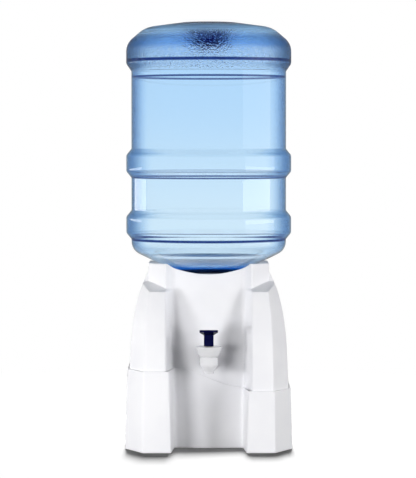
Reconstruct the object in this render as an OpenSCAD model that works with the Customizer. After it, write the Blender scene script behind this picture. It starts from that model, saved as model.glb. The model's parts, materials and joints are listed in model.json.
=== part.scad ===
// Countertop water dispenser: a two-piece moulded stand with one lever tap,
// an inner reservoir, and a five gallon bottle standing upside down in the collar.
// Frame: +Z up, origin on the table under the bottle's axis, the tap faces -Y.

/* [Stand] */
// Overall width of the stand at its foot
stand_w = 270; // [262:1:280]
// Overall depth of the stand at its foot
stand_d = 260; // [252:1:272]
// Height of the collar's rim over the table
stand_h = 299.5; // [296:0.5:320]
// Distance across the flats of the eight-sided collar
collar_w = 196; // [190:1:204]
// Height at which the bell of the upper shell has closed in to the collar
bell_top = 286; // [280:1:290]
// Wall of the upper shell
wall = 3; // [2.4:0.1:3.6]
// How far the lower shell stands proud of the upper one
shell_step = 3.5; // [3:0.1:5]
// Radius of the shells' upright edges
edge_r = 4; // [2:0.5:6]
// Distance between the outer edges of the two front panels
panel_span = 208; // [200:1:216]
// Angle of the corner panels, away from straight ahead
corner_angle = 63; // [58:1:68]

/* [Niche and ledges] */
// Width of the niche at its back wall
niche_w = 115; // [108:1:120]
// Depth of the niche, from the foot's front to the middle of its back wall
niche_depth = 69.5; // [64:0.5:71]
// How far the niche's back wall bulges forward
niche_bow = 4; // [2:0.5:6]
// Distance between the front panels' inner edges on the upper shell
mouth_w = 139; // [132:1:144]
// The same distance on the lower shell at its foot
foot_mouth_w = 120; // [116:1:126]
// How far the lower shell stands proud of the upper one in the niche
niche_step = 2.4; // [2:0.1:3]
// Height of the parting seam on the left pylon
seam_left = 130; // [120:1:136]
// Height of the parting seam on the right pylon
seam_right = 99; // [92:1:108]
// How far the upper shell reaches down inside the lower one
skirt_drop = 15; // [10:1:20]
// Height of the front edge of the sloping ledges
ledge_h = 255; // [248:1:260]
// Depth of the ledges from their front edge to the collar's mouth
ledge_run = 12; // [9:0.5:15]
// Upward slope of the ledges towards the back
ledge_slope = 21; // [17:1:25]

/* [Base] */
// Thickness of the base plate
plate_t = 4; // [3.5:0.5:6]
// Height that the feet hold the shells over the table
foot_h = 1.5; // [1:0.5:4]
// Diameter of a foot
foot_d = 22; // [16:1:26]
// Diameter of the screws that hold the shells together
screw_d = 4; // [3:0.5:4.5]
// Diameter of the screws that hold the base plate and the reservoir
small_screw_d = 3; // [2.5:0.5:3.5]

/* [Bottle] */
// Diameter over the bottle's ribs
bottle_rib_d = 270; // [264:1:274]
// Diameter of the bottle's plain wall
bottle_body_d = 253; // [248:1:257]
// Height of the bottle from its mouth to its base
bottle_h = 474; // [455:1:490]
// Wall of the bottle
bottle_wall = 1.8; // [1.4:0.1:2.4]
// Diameter of the neck
neck_d = 55; // [52:0.5:58]
// Length of the neck
neck_len = 54; // [46:1:60]
// Slope of the bottle's shoulder, and of the dish that it rests in
shoulder_angle = 26; // [23:0.5:28]
// Height of a rib from root to root
rib_h = 47.5; // [44:0.5:50]
// Height of the first rib's middle over the shoulder's edge
rib_up = 41.5; // [41:0.5:48]
// Distance from the first rib to the second
rib_pitch = 100.5; // [90:0.5:106]
// Depth of the hollow in the bottle's base
base_hollow = 40; // [24:1:46]

/* [Seat and reservoir] */
// Diameter of the hole in the dish
mouth_d = 100; // [96:1:102]
// Thickness of the seat insert
seat_t = 2.2; // [1.6:0.2:3]
// Thickness of the rubber pad on the seat
pad_t = 2; // [1.5:0.1:3]
// Outside diameter of the reservoir
tank_d = 104; // [98:1:107]
// Wall of the reservoir
tank_wall = 2.5; // [2:0.1:3]
// Thickness of the reservoir's gasket
gasket_t = 1.5; // [1:0.1:2.5]

/* [Tap] */
// Height of the tap's shank over the table
tap_z = 144; // [141:1:150]
// Distance from the niche wall to the spout's axis
tap_reach = 38.5; // [36:0.5:42]
// Diameter of the tap's body
tap_d = 29.6; // [28:0.2:32]
// Diameter of the flared bonnet's top
bonnet_d = 42.4; // [40:0.2:45]
// Diameter of the outlet
outlet_d = 12.4; // [10:0.2:13]
// Diameter of the threaded shank
shank_d = 16; // [14:0.5:17]
// Width of the lever's stem
lever_w = 15.4; // [14:0.2:18]
// Width of the lever's thumb plate
thumb_w = 29.4; // [26:0.2:34]
// Distance from the lever's pin to the valve stem
lever_arm = 8; // [7.6:0.1:9]
// Diameter of the lever's pin
pin_d = 2.5; // [2:0.1:3]
// Turns of the return spring
spring_turns = 4.5; // [3:0.5:5]
// Wire diameter of the return spring
wire_d = 1; // [0.8:0.05:1.2]

/* [Hidden] */
$fn = 96;
far = 400;

// How far a cut runs past the face that it opens, and how far joined forms run into each other
cut = 1;
lap = 1;

// Clearances: between parts that only pass, on a pin, between the two shells, round a
// screw's head, and from a screw's tip to the end of its hole
slip = 0.3;
pin_slip = 0.05;
lap_gap = 0.4;
head_slip = 0.5;
tip_gap = 2;

// Numbers of steps along curves, and how the bell's levels crowd towards its top
edge_steps = 4;
bell_steps = 20;
niche_steps = 20;
bow_steps = 12;
wave_steps = 24;
lower_steps = 8;
bell_crowding = 1.5;

// The niche's back wall clears the reservoir, and the stand's front lies a niche ahead of it
tank_gap = 5.5;
tank_r = tank_d / 2;
niche_y = tank_r + tank_gap + wall;
niche_end_y = niche_y - niche_bow;
stand_front = niche_y + niche_depth;
stand_back = stand_d - stand_front;

// Faces of the upper shell carried down to the table, and the eight-sided collar
side_foot = stand_w / 2 - shell_step;
front_foot = stand_front - shell_step;
back_foot = stand_back - shell_step;
collar_sides = 8;
half_side = 180 / collar_sides;
collar_skirt = 12;
collar_gap = 5;
collar_mouth_y = collar_w / 2 * sqrt(2) - mouth_w / 2;

// How far each face leans in, and how far it curls in on top of that
bell_lap = 0.5;
bell_end = collar_w / 2 - bell_lap;
side_lean = 7.5;
side_power = 6;
side_curl = side_foot - side_lean - bell_end;
back_curl = back_foot - side_lean - bell_end;
front_lean = 8;
front_power = 3;
ledge_level = ledge_h / bell_top;
ledge_front = collar_mouth_y + ledge_run;
front_curl = (front_foot - front_lean * ledge_level - ledge_front) / pow(ledge_level, front_power);
panel_lean = 2;
panel_curl = 13;

// Parting seam and the lap of the two shells
niche_over = 10;
seam_top = max(seam_left, seam_right);
skirt_z = min(seam_left, seam_right) - skirt_drop;
lower_wall = shell_step - lap_gap;
niche_wall = niche_step - lap_gap;

// Dish that the bottle's shoulder lies over
dish_rise = tan(shoulder_angle);
dish_r = collar_w / 2 - wall;
dish_over = 10;
deck_t = wall / cos(shoulder_angle);
mouth_r = mouth_d / 2;
function dish_z(r) = stand_h - (dish_r - r) * dish_rise;

// Seat insert and rubber pad
neck_r = neck_d / 2;
seat_lap = 6.5;
seat_r = mouth_r + seat_lap;
sleeve_room = 11;
sleeve_r = neck_r + sleeve_room;
sleeve_drop = 45;
locator_t = 2;
locator_h = 6;
pad_inset = 5;
pad_edge = 1;
pad_in = sleeve_r + pad_inset;
pad_out = seat_r - pad_edge;

// Reservoir, its gasket, and the land under the deck that they are screwed to
land_w = 5;
land_h = 5;
tank_flange = 3;
land_r = max(mouth_r + land_w, tank_r + tank_flange);
land_z = dish_z(mouth_r) - deck_t - land_h;
tank_sump = 20;
tank_floor = tap_z - tank_sump;
tank_bevel = 6;
rim_z = land_z - gasket_t;
rim_t = 3;
ear_out = 8;
ear_r = land_r + ear_out;
ear_d = 10;
ear_angles = [0, 90, 180];
ear_depth = 10;

// Bottle: profile heights over its mouth
bottle_z = dish_z(neck_r) + seat_t + pad_t + slip - neck_len;
rib_r = bottle_rib_d / 2;
body_r = bottle_body_d / 2;
shoulder_edge = neck_len + (body_r - neck_r) * dish_rise;
rib_ramp = 10.5;
rib_root_fillet = 2.5;
rib_crest_fillet = 8;
neck_root = 12;
neck_fillet = 8;
shoulder_fillet = 24;
neck_ring_drop = 28;
neck_ring_z = neck_len - neck_ring_drop;
neck_ring = 4;
band_drop = 79.5;
band_ramp = 12.5;
heel_drop = 34.5;
heel_fillet = 29;
crown_in = 30.5;
crown_drop = 8.3;
crown_fillet = 45;
base_in = 90;
base_r = rib_r - base_in;
base_ring = 4;
hollow_r = base_r - base_ring;
hollow_steps = 18;
profile_steps = 5;

// Tap: its pad on the niche wall, the upright turning, and the bonnet
tap_y = niche_y + tap_reach;
tap_pad_d = 34;
tap_pad_t = 1;
tap_pad_front = niche_y + tap_pad_t;
tap_pad_back = niche_y - wall - tap_pad_t;
tap_r = tap_d / 2;
outlet_r = outlet_d / 2;
outlet_drop = 19;
outlet_z = tap_z - outlet_drop;
nozzle_wall = 2;
nozzle_r = outlet_r + nozzle_wall;
nozzle_h = 3;
nozzle_top = outlet_z + nozzle_h;
cone_drop = 6;
cone_top = tap_z - cone_drop;
body_rise = 7.5;
body_top = tap_z + body_rise;
thread_h = 7;
neck_top = body_top + thread_h;
chamber_wall = 4.3;
chamber_r = tap_r - chamber_wall;
thread_wall = 2.5;
thread_r = chamber_r + thread_wall;
valve_seat_drop = 10;
valve_seat_z = tap_z - valve_seat_drop;
bonnet_gap = 1.2;
bonnet_z = body_top + bonnet_gap;
bonnet_rise = 24.7;
bonnet_top = tap_z + bonnet_rise;
bonnet_t = 3;
bonnet_lip = 0.7;
bonnet_low_r = tap_r + bonnet_lip;
bonnet_bevel = 1.2;

// Shank through the wall and into the reservoir, with its washers and nut
barrel_d = 14.5;
flange_d = 30;
flange_t = 3.5;
washer_t = 1.5;
washer_w = 5;
washer_d = shank_d + 2 * washer_w;
flange_y = tap_pad_front + washer_t;
boss_d = 34;
boss_in = 5.5;
boss_y = tank_r - tank_wall - boss_in;
nut_t = 8;
nut_w = 4;
nut_flats = shank_d + 2 * nut_w;
nut_sides = 6;
nut_y = boss_y - washer_t - nut_t;
shank_tail = 4;
shank_y = nut_y - shank_tail;
shank_bore_d = 9;

// Valve: rod, piston with its ring, plug, and the head that the lever lifts
rod_r = 2.5;
rod_lift = 2;
rod_low = valve_seat_z + rod_lift;
stem_r = 3;
piston_rise = 5.5;
piston_z = tap_z + piston_rise;
piston_t = 3.5;
piston_top = piston_z + piston_t;
piston_r = chamber_r - slip;
ring_r = 1;
ring_mid_r = chamber_r - 2 * pin_slip - ring_r;
plug_gap = 0.42;
plug_cone = 3;
plug_h = 5;
hood_r = 5.8;
hood_gap = 0.5;
pivot_y = tap_y + lever_arm;
pivot_z = bonnet_top + hood_r + hood_gap;
finger_r = 1.5;
stem_neck_r = 1.6;
stem_head_r = 3.2;
stem_head_z = pivot_z + finger_r + slip;
stem_head_t = 2.5;
stem_neck_drop = 2;
stem_neck_z = pivot_z - finger_r - stem_neck_drop;
head_room = 1.2;
head_top = stem_head_z + stem_head_t + head_room - pivot_z;

// Lever: heights over its pin, and the post that carries the pin
eye_r = 3.2;
post_w = 4;
post_t = 3.2;
pin_inset = 0.5;
hood_round = 5.2;
hood_corner = 2;
hood_tail = 4;
hood_tail_drop = 2.4;
hood_roof = 3;
crest_back = 2.6;
crest_rise = 1;
crest_fillet = 3;
upright_back = 2;
upright_front = 4.2;
shoulder_low = 5;
shoulder_high = 7;
shoulder_round = 1.8;
shoulder_fillet_r = 1;
head_slot = 1.8;
finger_gap = 0.5;
finger_root = 2.5;
thumb_t = 3.2;
thumb_rise = 14.7;
thumb_tilt = 19;
thumb_len = 23.5;
thumb_root = 3;
thumb_side = 5;
thumb_corner = 2.5;
thumb_fillet = 6;

// Return spring
spring_r = 5.6;
spring_low = piston_top + wire_d / 2 + 2 * pin_slip;
spring_high = bonnet_top - bonnet_t - wire_d / 2 - 2 * pin_slip;
wire_rings = 12;
wire_sides = 6;

// Screws, their posts and bosses, and the feet; a screw's head is sized by its shank
head_w = 2;
head_t = 0.5;
post_in = 11;
post_x = side_foot - post_in;
post_y = 50;
post_r = 7;
post_cap = 4;
post_h = 24;
post_top = skirt_z + post_h;
shelf_t = 8;
shelf_z = skirt_z - shelf_t;
rib_t = 3;
boss_r = 5;
boss_h = 20;
boss_wall = 3.4;
rear_boss_x = 62;
panel_mid = (panel_span + foot_mouth_w) / 4;
boss_inset = lower_wall + boss_wall;
boss_places = [[panel_mid, boss_inset - stand_front], [rear_boss_x, stand_back - boss_inset]];
foot_shift = 2;
foot_inset = 32;
rear_foot_in = 45;
rear_foot_inset = 40;
foot_places = [
    [panel_mid + foot_shift, foot_inset - stand_front],
    [stand_w / 2 - rear_foot_in, stand_back - rear_foot_inset]
];
stud_d = 6;
stud_gap = 0.5;
plate_top = foot_h + plate_t;
sink_z = foot_h + plate_t / 2;

white = [0.93, 0.93, 0.95];
inner_white = [0.86, 0.88, 0.9];
navy = [0.05, 0.07, 0.3];
rubber = [0.2, 0.2, 0.22];
steel = [0.7, 0.7, 0.72];
silicone = [0.9, 0.85, 0.75];
aqua = [0.55, 0.76, 0.95, 0.45];

// A line in plan is [unit normal, distance from the origin]; two lines meet in a corner
function meet(a, b) =
    let (d = a[0].x * b[0].y - a[0].y * b[0].x)
    [(a[1] * b[0].y - b[1] * a[0].y) / d, (a[0].x * b[1] - b[0].x * a[1]) / d];

function unit(v) = v / norm(v);

// Arc of radius r that rounds the corner p between a and b
function arc_at(a, p, b, r, n) =
    let (
        u = unit(a - p),
        v = unit(b - p),
        half = acos(max(-1, min(1, u * v))) / 2,
        c = p + unit(u + v) * r / sin(half),
        s = p + u * r / tan(half) - c,
        e = p + v * r / tan(half) - c,
        w = 180 - 2 * half
    )
    [for (k = [0 : n]) c + (s * sin((1 - k / n) * w) + e * sin(k / n * w)) / sin(w)];

// A path or a closed loop of [x, y, corner radius] points, with its corners rounded
function rounded(pts, n) =
    let (q = [for (p = pts) [p.x, p.y]], m = len(pts))
    [for (i = [0 : m - 1])
        each pts[i].z <= 0 ? [q[i]] : arc_at(q[(i + m - 1) % m], q[i], q[(i + 1) % m], pts[i].z, n)];

function with_radius(pts, r) = [for (p = pts) [p.x, p.y, r]];

// A path moved to its left by w, point by point
function moved_path(path, w) =
    let (last = len(path) - 1)
    [for (i = [0 : last])
        let (t = unit(path[min(i + 1, last)] - path[max(i - 1, 0)]))
        path[i] + w * [-t.y, t.x]];

function reversed(list) = [for (i = [len(list) - 1 : -1 : 0]) list[i]];

function at_height(plan, z) = [for (p = plan) [p.x, p.y, z]];

// Solid through a stack of like plans
module loft(rings) {
    m = len(rings[0]);
    n = len(rings);
    sides = [for (k = [0 : n - 2], i = [0 : m - 1])
        let (a = k * m + i, b = k * m + (i + 1) % m)
        each [[a, a + m, b + m], [a, b + m, b]]];
    bottom = [for (i = [0 : m - 1]) i];
    top = [for (i = [m - 1 : -1 : 0]) (n - 1) * m + i];
    polyhedron([for (r = rings) each r], concat(sides, [bottom, top]), convexity = 6);
}

// How far a face of the bell has drawn in at height z
function draw_in(z, lean, curl, power) =
    let (t = max(0, min(1, z / bell_top)))
    lean * t + curl * pow(t, power);

function front_y(z) = front_foot - draw_in(z, front_lean, front_curl, front_power);
function back_y(z) = back_foot - draw_in(z, side_lean, back_curl, side_power);
function side_x(z) = side_foot - draw_in(z, side_lean, side_curl, side_power);
function panel_x(z) = panel_span / 2 - draw_in(z, panel_lean, panel_curl, side_power);

// Eight-sided plan of the bell at height z, moved outwards by o
function bell_plan(z, o) =
    let (
        n = [sin(corner_angle), cos(corner_angle)],
        front = [[0, -1], front_y(z) + o],
        side = [[1, 0], side_x(z) + o],
        back = [[0, 1], back_y(z) + o],
        corner = [[n.x, -n.y], n.x * panel_x(z) + n.y * front_y(z) + o],
        rear = [n, n.x * panel_x(z) + n.y * back_y(z) + o],
        right = [meet(front, corner), meet(corner, side), meet(side, rear), meet(rear, back)]
    )
    concat(right, [for (p = reversed(right)) [-p.x, p.y]]);

module bell(o, heights, r) {
    loft([for (z = heights) at_height(rounded(with_radius(bell_plan(z, o), r), edge_steps), z)]);
}

// Plan of the niche grown by g: a bowed back wall and two sides that slant out
// to the point [half, -front] and a little past it
function niche_plan(g, half, front) =
    let (
        corner = [niche_w / 2, -niche_end_y],
        slope = [half, -front] - corner,
        way = unit(slope),
        slant = [[-way.y, way.x], -way.y * corner.x + way.x * corner.y + g],
        a = meet(slant, [[0, 1], -niche_end_y + g]),
        b = a + way * (norm(slope) + niche_over),
        bow = [for (k = [0 : bow_steps])
            let (s = 1 - 2 * k / bow_steps)
            [s * a.x, a.y - niche_bow * (1 - s * s)]]
    )
    concat([[-b.x, b.y], b], bow);

// The niche's sides end on the front panels, then on the ledges, then on the collar
module upper_niche(g) {
    ledge_top = ledge_h + ledge_run * tan(ledge_slope);
    panels = [for (k = [0 : niche_steps])
        let (z = skirt_z + (ledge_h - skirt_z) * k / niche_steps)
        [z, front_y(z)]];
    stops = concat([[skirt_z - 2 * cut, front_y(skirt_z)]], panels,
        [[ledge_top, collar_mouth_y], [stand_h + cut, collar_mouth_y]]);
    loft([for (s = stops) at_height(niche_plan(g, mouth_w / 2, s[1]), s[0])]);
}

// The lower niche narrows towards the foot
module lower_niche(g) {
    foot = foot_mouth_w / 2 + niche_step;
    top = mouth_w / 2 - niche_step;
    loft([for (k = [0 : lower_steps])
        let (t = k / lower_steps, z = -cut + (seam_top + 3 * cut) * t)
        at_height(niche_plan(g, foot + (top - foot) * t, front_y(z) + shell_step), z)]);
}

// Eight-sided collar, open in front of the niche
module collar(inset) {
    half = mouth_w / 2 + inset;
    low = ledge_h - collar_skirt;
    difference() {
        translate([0, 0, low])
            rotate([0, 0, half_side])
                cylinder(r = (collar_w / 2 - inset) / cos(half_side), h = stand_h - inset - low,
                    $fn = collar_sides);
        translate([-half, -far, 0])
            cube([2 * half, far - collar_mouth_y + collar_gap, far]);
    }
}

// Space over the sloping ledges, in front of the side panels
module over_ledge(inset) {
    edge = -far * tan(half_side);
    intersection() {
        translate([-far, -front_y(ledge_h), ledge_h - inset])
            rotate([ledge_slope, 0, 0])
                translate([0, -far, 0])
                    cube([2 * far, 2 * far, far]);
        translate([0, inset / cos(half_side), 0])
            linear_extrude(far)
                polygon([[0, 0], [-far, edge], [0, -far], [far, edge]]);
    }
}

// The outside of the upper shell, or its inside when drawn in by the wall
module upper_form(inset) {
    low = inset > 0 ? skirt_z - cut : skirt_z;
    heights = [for (k = [0 : bell_steps])
        low + (bell_top - inset - low) * (1 - pow(1 - k / bell_steps, bell_crowding))];
    difference() {
        union() {
            difference() {
                bell(-inset, heights, inset > 0 ? 0 : edge_r);
                over_ledge(inset);
            }
            collar(inset);
        }
        upper_niche(inset);
    }
}

// Everything under the dish's lower face
module under_deck() {
    top = stand_h - wall;
    edge = dish_r + (top + deck_t - stand_h) / dish_rise;
    rotate_extrude()
        polygon([[0, 0], [far, 0], [far, top], [edge, top], [0, dish_z(0) - deck_t]]);
}

module at_posts() {
    for (x = [-1, 1], y = [-1, 1])
        translate([x * post_x, y * post_y, 0])
            children();
}

module at_bosses() {
    for (x = [-1, 1], p = boss_places)
        translate([x * p.x, p.y, 0])
            children();
}

module at_ears() {
    for (a = ear_angles)
        rotate([0, 0, a])
            translate([ear_r, 0, 0])
                children();
}

module rod(d, z0, z1) {
    translate([0, 0, z0])
        cylinder(d = d, h = z1 - z0);
}

// A round rod along the shank's axis, between two distances in front of the origin
module shank_rod(d, y0, y1) {
    translate([0, -y0, tap_z])
        rotate([90, 0, 0])
            cylinder(d = d, h = y1 - y0);
}

module at_tap() {
    translate([0, -tap_y, 0])
        children();
}

// A flat shape drawn in [distance behind the lever's pin, height over it], as wide as w
module lever_slab(w) {
    translate([0, -pivot_y, pivot_z])
        rotate([90, 0, 90])
            linear_extrude(w, center = true)
                children();
}

module upper_housing() {
    dish_edge = dish_r + dish_over;
    color(white)
        difference() {
            union() {
                difference() {
                    upper_form(0);
                    intersection() {
                        upper_form(wall);
                        under_deck();
                    }
                }
                at_posts()
                    rod(2 * post_r, skirt_z, post_top);
                rod(2 * land_r, land_z, stand_h);
                at_ears()
                    rod(ear_d, rim_z, stand_h);
                shank_rod(tap_pad_d, tap_pad_back, tap_pad_front);
            }
            translate([0, 0, dish_z(0)])
                cylinder(r1 = 0, r2 = dish_edge, h = dish_edge * dish_rise);
            rod(mouth_d, dish_z(0) - deck_t - cut, stand_h);
            at_ears()
                rod(small_screw_d + 2 * pin_slip, rim_z - cut, rim_z + ear_depth);
            at_posts()
                rod(screw_d + 2 * pin_slip, skirt_z - cut, post_top - post_cap);
            shank_rod(shank_d + 2 * slip, tap_pad_back - cut, tap_pad_front + cut);
        }
}

// Everything over the parting seam, which swings from one height to the other in the niche
module over_seam() {
    half = niche_w / 2;
    wave = [for (k = [0 : wave_steps])
        let (t = k / wave_steps)
        [(2 * t - 1) * half, seam_left + (seam_right - seam_left) * (1 - cos(180 * t)) / 2]];
    rotate([90, 0, 0])
        linear_extrude(2 * far, center = true)
            polygon(concat([[-far, far], [-far, seam_left]], wave, [[far, seam_right], [far, far]]));
}

module lower_form(o, g, r) {
    low = r > 0 ? foot_h : 0;
    high = seam_top + cut;
    difference() {
        bell(o, [for (k = [0 : lower_steps]) low + (high - low) * k / lower_steps], r);
        lower_niche(g);
    }
}

module lower_housing() {
    rib_end = side_x(skirt_z) + shell_step - lower_wall / 2;
    color(white)
        difference() {
            union() {
                difference() {
                    lower_form(shell_step, -niche_step, edge_r);
                    lower_form(shell_step - lower_wall, niche_wall - niche_step, 0);
                    over_seam();
                }
                at_posts()
                    rod(2 * post_r, plate_top, skirt_z);
                for (x = [-1, 1], y = [-1, 1])
                    translate([x > 0 ? post_x : -rib_end, y * post_y - rib_t / 2, plate_top])
                        cube([rib_end - post_x, rib_t, shelf_z - plate_top]);
                at_bosses()
                    rod(2 * boss_r, plate_top, plate_top + boss_h);
            }
            at_posts() {
                rod(head_w * screw_d + 2 * head_slip, plate_top - cut, shelf_z);
                rod(screw_d + 2 * slip, shelf_z - cut, skirt_z + cut);
            }
            at_bosses()
                rod(small_screw_d + 2 * pin_slip, plate_top - cut, plate_top + boss_h - post_cap);
        }
}

module base_plate() {
    color(inner_white)
        difference() {
            translate([0, 0, foot_h])
                linear_extrude(plate_t)
                    difference() {
                        polygon(bell_plan(0, shell_step - lower_wall - lap_gap));
                        polygon(niche_plan(niche_wall + lap_gap - niche_step,
                            foot_mouth_w / 2 + niche_step, stand_front));
                    }
            for (x = [-1, 1], p = foot_places)
                translate([x * p.x, p.y, 0])
                    rod(stud_d + 2 * pin_slip, 0, plate_top + cut);
            at_bosses() {
                rod(small_screw_d + 2 * slip, 0, plate_top + cut);
                rod(head_w * small_screw_d + 2 * slip, 0, sink_z);
            }
        }
}

module foot(side, place) {
    color(rubber)
        translate([side * place.x, place.y, 0]) {
            rod(foot_d, 0, foot_h);
            rod(stud_d, 0, plate_top - stud_gap);
        }
}

module foot_front_left() { foot(-1, foot_places[0]); }
module foot_front_right() { foot(1, foot_places[0]); }
module foot_rear_left() { foot(-1, foot_places[1]); }
module foot_rear_right() { foot(1, foot_places[1]); }

// A pan-head screw whose head's upper face is at z
module screw(d, z, reach) {
    head = head_t * d;
    rod(head_w * d, z - head, z);
    rod(d, z - head / 2, z + reach);
}

module housing_screws() {
    color(steel)
        at_posts()
            screw(screw_d, shelf_z, post_top - post_cap - tip_gap - shelf_z);
}

module base_screws() {
    color(steel)
        at_bosses()
            screw(small_screw_d, sink_z, plate_top + boss_h - post_cap - tip_gap - sink_z);
}

module reservoir_screws() {
    color(steel)
        at_ears()
            screw(small_screw_d, rim_z - rim_t, rim_t + ear_depth - tip_gap);
}

// Dished seat that drops into the hole in the deck, with a sleeve round the bottle's neck
module bottle_seat() {
    locator_out = mouth_r - slip;
    locator_in = locator_out - locator_t;
    locator_low = dish_z(locator_out) - locator_h;
    sleeve_low = dish_z(sleeve_r) - sleeve_drop;
    sleeve_out = sleeve_r + seat_t;
    color(inner_white)
        rotate_extrude()
            polygon([
                [sleeve_r, sleeve_low], [sleeve_out, sleeve_low], [sleeve_out, dish_z(sleeve_out)],
                [locator_in, dish_z(locator_in)], [locator_in, locator_low],
                [locator_out, locator_low], [locator_out, dish_z(locator_out)],
                [seat_r, dish_z(seat_r)], [seat_r, dish_z(seat_r) + seat_t],
                [sleeve_r, dish_z(sleeve_r) + seat_t]
            ]);
}

module seat_pad() {
    color(rubber)
        rotate_extrude()
            translate([0, seat_t])
                polygon([
                    [pad_in, dish_z(pad_in)], [pad_out, dish_z(pad_out)],
                    [pad_out, dish_z(pad_out) + pad_t], [pad_in, dish_z(pad_in) + pad_t]
                ]);
}

module reservoir() {
    inner_r = tank_r - tank_wall;
    floor_z = tank_floor + tank_wall;
    rim_low = rim_z - rim_t;
    color(inner_white)
        difference() {
            union() {
                rotate_extrude()
                    polygon([
                        [0, tank_floor], [tank_r - tank_bevel, tank_floor],
                        [tank_r, tank_floor + tank_bevel], [tank_r, rim_low],
                        [land_r, rim_low], [land_r, rim_z], [inner_r, rim_z],
                        [inner_r, floor_z + tank_bevel], [inner_r - tank_bevel, floor_z], [0, floor_z]
                    ]);
                shank_rod(boss_d, boss_y, tap_pad_back);
                at_ears() {
                    rod(ear_d, rim_low, rim_z);
                    translate([-ear_out - lap, -ear_d / 2, rim_low])
                        cube([ear_out + lap, ear_d, rim_t]);
                }
            }
            shank_rod(shank_d + 2 * slip, boss_y - cut, tap_pad_back + cut);
            at_ears()
                rod(small_screw_d + 2 * slip, rim_low - cut, rim_z + cut);
        }
}

module reservoir_gasket() {
    color(rubber)
        difference() {
            rod(2 * land_r, rim_z, land_z);
            rod(mouth_d, rim_z - cut, land_z + cut);
        }
}

// Spout and valve chamber in one upright turning, with the shank behind it
module tap_body() {
    color(white)
        difference() {
            union() {
                at_tap()
                    rotate_extrude()
                        polygon([
                            [0, outlet_z], [nozzle_r, outlet_z], [nozzle_r, nozzle_top], [tap_r, cone_top],
                            [tap_r, body_top], [thread_r, body_top], [thread_r, neck_top], [0, neck_top]
                        ]);
                shank_rod(barrel_d, flange_y, tap_y);
                shank_rod(flange_d, flange_y, flange_y + flange_t);
                shank_rod(shank_d, shank_y, flange_y + flange_t / 2);
            }
            at_tap()
                rotate_extrude()
                    polygon([
                        [0, outlet_z - cut], [outlet_r, outlet_z - cut], [outlet_r, valve_seat_z],
                        [chamber_r, valve_seat_z + chamber_r - outlet_r],
                        [chamber_r, neck_top + cut], [0, neck_top + cut]
                    ]);
            shank_rod(shank_bore_d, shank_y - cut, tap_y);
        }
}

// Flared cap screwed over the valve chamber, with the post that carries the lever's pin
module tap_bonnet() {
    bonnet_r = bonnet_d / 2;
    hole_r = stem_r + slip / 2;
    skirt_r = thread_r + slip / 2;
    ceiling = bonnet_top - bonnet_t;
    color(white)
        difference() {
            union() {
                at_tap()
                    rotate_extrude()
                        polygon([
                            [skirt_r, bonnet_z], [bonnet_low_r, bonnet_z],
                            [bonnet_r, bonnet_top - bonnet_bevel], [bonnet_r - bonnet_bevel, bonnet_top],
                            [hole_r, bonnet_top], [hole_r, ceiling], [chamber_r, ceiling],
                            [chamber_r, neck_top + slip], [skirt_r, neck_top + slip]
                        ]);
                lever_slab(post_w) {
                    circle(eye_r);
                    translate([-post_t / 2, bonnet_top - pivot_z - lap])
                        square([post_t, pivot_z - bonnet_top + lap]);
                }
            }
            lever_slab(2 * post_w)
                circle(d = pin_d + 2 * pin_slip);
        }
}

module lever_pin() {
    color(steel)
        lever_slab(lever_w - 2 * pin_inset)
            circle(d = pin_d);
}

module shank_nut() {
    color(inner_white)
        difference() {
            translate([0, -nut_y, tap_z])
                rotate([90, 0, 0])
                    cylinder(d = nut_flats / cos(180 / nut_sides), h = nut_t, $fn = nut_sides);
            shank_rod(shank_d + 2 * pin_slip, nut_y - cut, nut_y + nut_t + cut);
        }
}

module washer(y) {
    color(rubber)
        difference() {
            shank_rod(washer_d, y, y + washer_t);
            shank_rod(shank_d + 2 * pin_slip, y - cut, y + washer_t + cut);
        }
}

module shank_washer_front() { washer(tap_pad_front); }
module shank_washer_rear() { washer(boss_y - washer_t); }

// Compression spring round the valve stem, one unbroken wire
module return_spring() {
    rings = round(spring_turns * wire_rings);
    pitch = (spring_high - spring_low) / spring_turns;
    echo(least_spring_gap = pitch - wire_d);
    ring = function (k) [for (j = [0 : wire_sides - 1])
        let (a = 360 * k / wire_rings, b = -360 * j / wire_sides, r = spring_r + wire_d / 2 * cos(b))
        [r * cos(a), r * sin(a), spring_low + pitch * k / wire_rings + wire_d / 2 * sin(b)]];
    color(steel)
        at_tap()
            loft([for (k = [0 : rings]) ring(k)]);
}

// Side view of the lever's hood, with the upright that stands on its shoulder
function hood_outline() =
    let (back = lever_arm + hood_tail, crown = head_top + hood_roof, top = thumb_rise - lap)
    [
        [-hood_r, -hood_r, hood_round], [hood_r / 2, -hood_r, hood_corner],
        [back, -hood_tail_drop, hood_corner], [back, crown, hood_corner],
        [crest_back, crown + crest_rise, crest_fillet], [upright_back, top, 0],
        [-upright_front, top, 0], [-upright_front, shoulder_high, shoulder_fillet_r],
        [-hood_r, shoulder_low, shoulder_round]
    ];

// Right half of the fan-shaped thumb plate, seen from above
function fan_half() =
    let (half = lever_w / 2, tip = thumb_w / 2)
    [
        [tip, -thumb_len, thumb_corner], [tip, thumb_side - thumb_len, thumb_corner],
        [half, -thumb_root, thumb_fillet], [half, thumb_root, hood_corner]
    ];

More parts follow.
